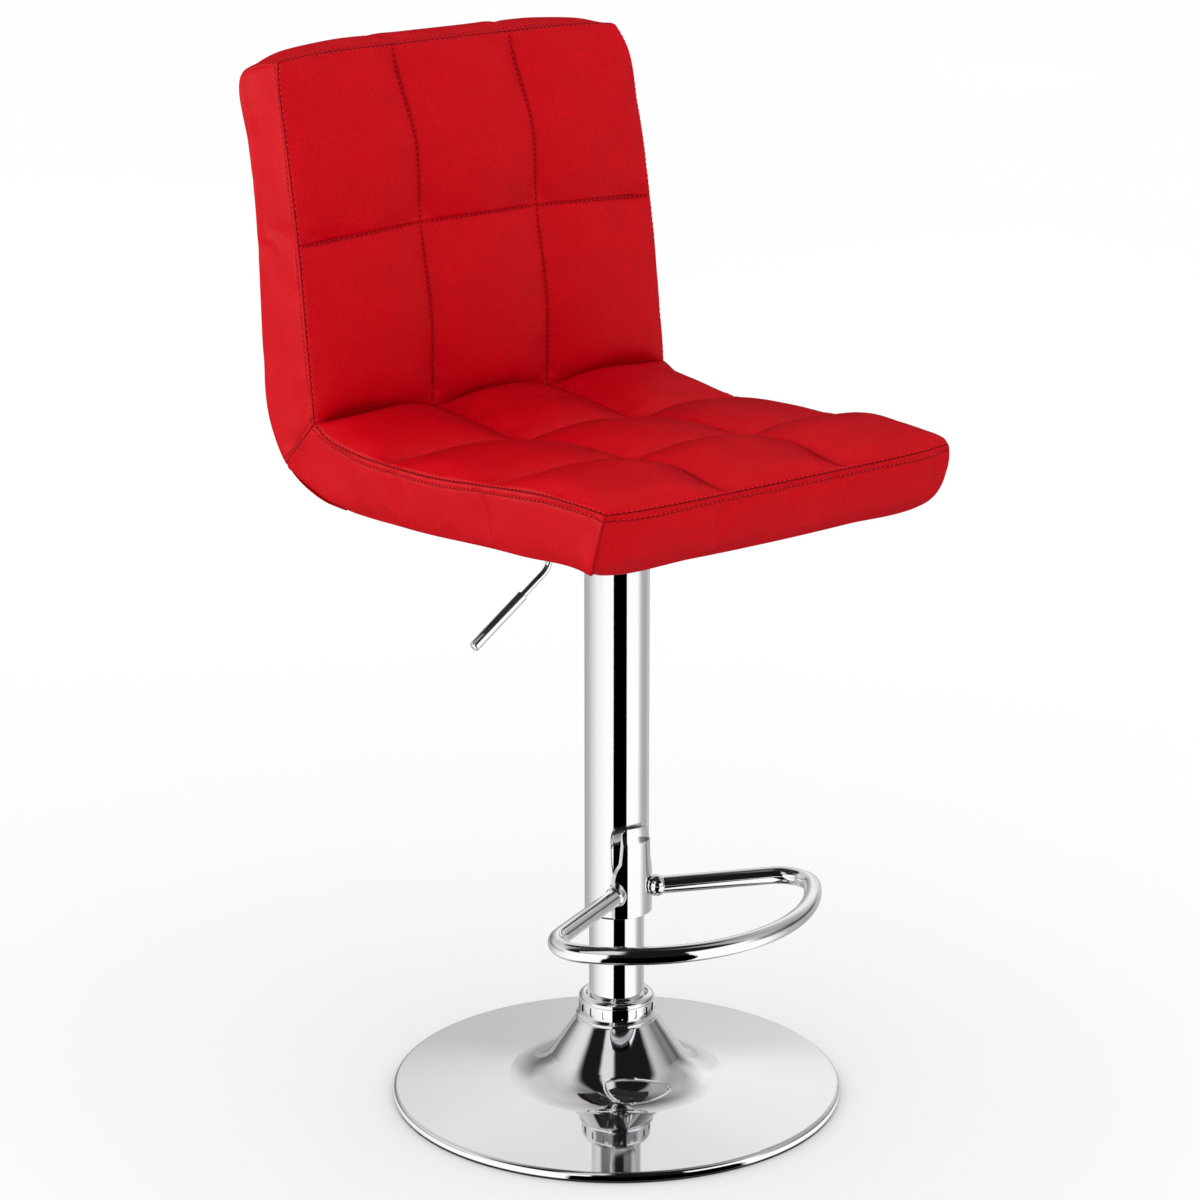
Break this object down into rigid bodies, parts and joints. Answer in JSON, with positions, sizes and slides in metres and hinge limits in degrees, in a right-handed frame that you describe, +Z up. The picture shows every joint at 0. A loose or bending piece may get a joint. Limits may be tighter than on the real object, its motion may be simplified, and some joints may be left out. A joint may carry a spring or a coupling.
{
  "type": "adjustable swivel stool",
  "caption": "Bar stool with a quilted one-piece seat and back, gas-lift column with a release lever, a footrest loop and a round trumpet base.",
  "frame": {"origin": "on the floor, at the column's vertical axis", "axes": "+Z up; the front of the stool faces -Y; +X is to the right seen from the front, and the release lever is on the -X side"},
  "size_m": [0.41, 0.512, 0.9465],
  "materials": {
    "chrome": "polished",
    "black_enamel": "satin",
    "zinc_steel": "satin",
    "black_plastic": "satin",
    "black_rubber": "matte",
    "plywood": "matte",
    "red_leather": "satin",
    "black_cloth": "matte",
    "foam": "matte"
  },
  "bodies": {
    "base": {"base_pan": "chrome", "base_floor_ring": "black_rubber", "base_ballast_plate": "black_enamel", "column_bolts": "zinc_steel", "column_socket": "black_enamel", "base_collar": "chrome", "stand_tube": "chrome", "tube_base_plate": "zinc_steel", "guide_bush": "black_plastic", "thrust_washer_lower": "zinc_steel", "thrust_balls": "zinc_steel"},
    "rod": {"piston_rod": "zinc_steel", "rod_clip": "zinc_steel", "piston": "zinc_steel", "piston_seal": "black_rubber", "thrust_washer_upper": "zinc_steel"},
    "seat": {"gas_cylinder": "black_enamel", "cylinder_gland": "zinc_steel", "gland_seal": "black_rubber", "cylinder_taper": "zinc_steel", "column_sleeve": "chrome", "sleeve_glide_bush": "black_plastic", "sleeve_top_cap": "chrome", "footrest_bracket": "chrome", "footrest_loop": "chrome", "footrest_welds": "chrome", "seat_plate": "black_enamel", "plate_hub": "black_enamel", "lever_bracket": "black_enamel", "lever_pivot_pin": "zinc_steel", "seat_bolts": "zinc_steel", "seat_washers": "zinc_steel", "tee_nuts": "zinc_steel", "seat_shell": "plywood", "seat_foam": "foam", "back_foam": "foam", "seat_top_panel": "red_leather", "seat_front_boxing": "red_leather", "seat_boxing_left": "red_leather", "seat_boxing_right": "red_leather", "back_front_panel": "red_leather", "back_top_boxing": "red_leather", "back_boxing_left": "red_leather", "back_boxing_right": "red_leather", "back_rear_panel": "red_leather", "underside_cloth": "black_cloth"},
    "lever": {"lever_rod": "chrome", "lever_handle": "chrome"},
    "valve_pin": {"release_pin": "zinc_steel"}
  },
  "joints": [
    {"name": "swivel", "type": "hinge", "parent": "base", "child": "rod", "pos_m": [0, 0, 0.0225], "axis": [0, 0, 1], "continuous": true},
    {"name": "lift", "type": "slide", "parent": "rod", "child": "seat", "axis": [0, 0, 1], "range_m": [-0.075, 0.13]},
    {"name": "lever_tilt", "type": "hinge", "parent": "seat", "child": "lever", "pos_m": [-0.027, 0, 0.542], "axis": [0, 1, 0], "range_deg": [0, 8], "stiffness_Nm_per_rad": 0.6, "springref_deg": -8.59},
    {"name": "pin_press", "type": "slide", "parent": "seat", "child": "valve_pin", "axis": [0, 0, -1], "range_m": [0, 0.004], "stiffness_N_per_m": 300, "springref_m": -0.001}
  ],
  "couplings": [
    {"joint": "pin_press", "follows": "lever_tilt", "m_per_rad": 0.0278}
  ]
}
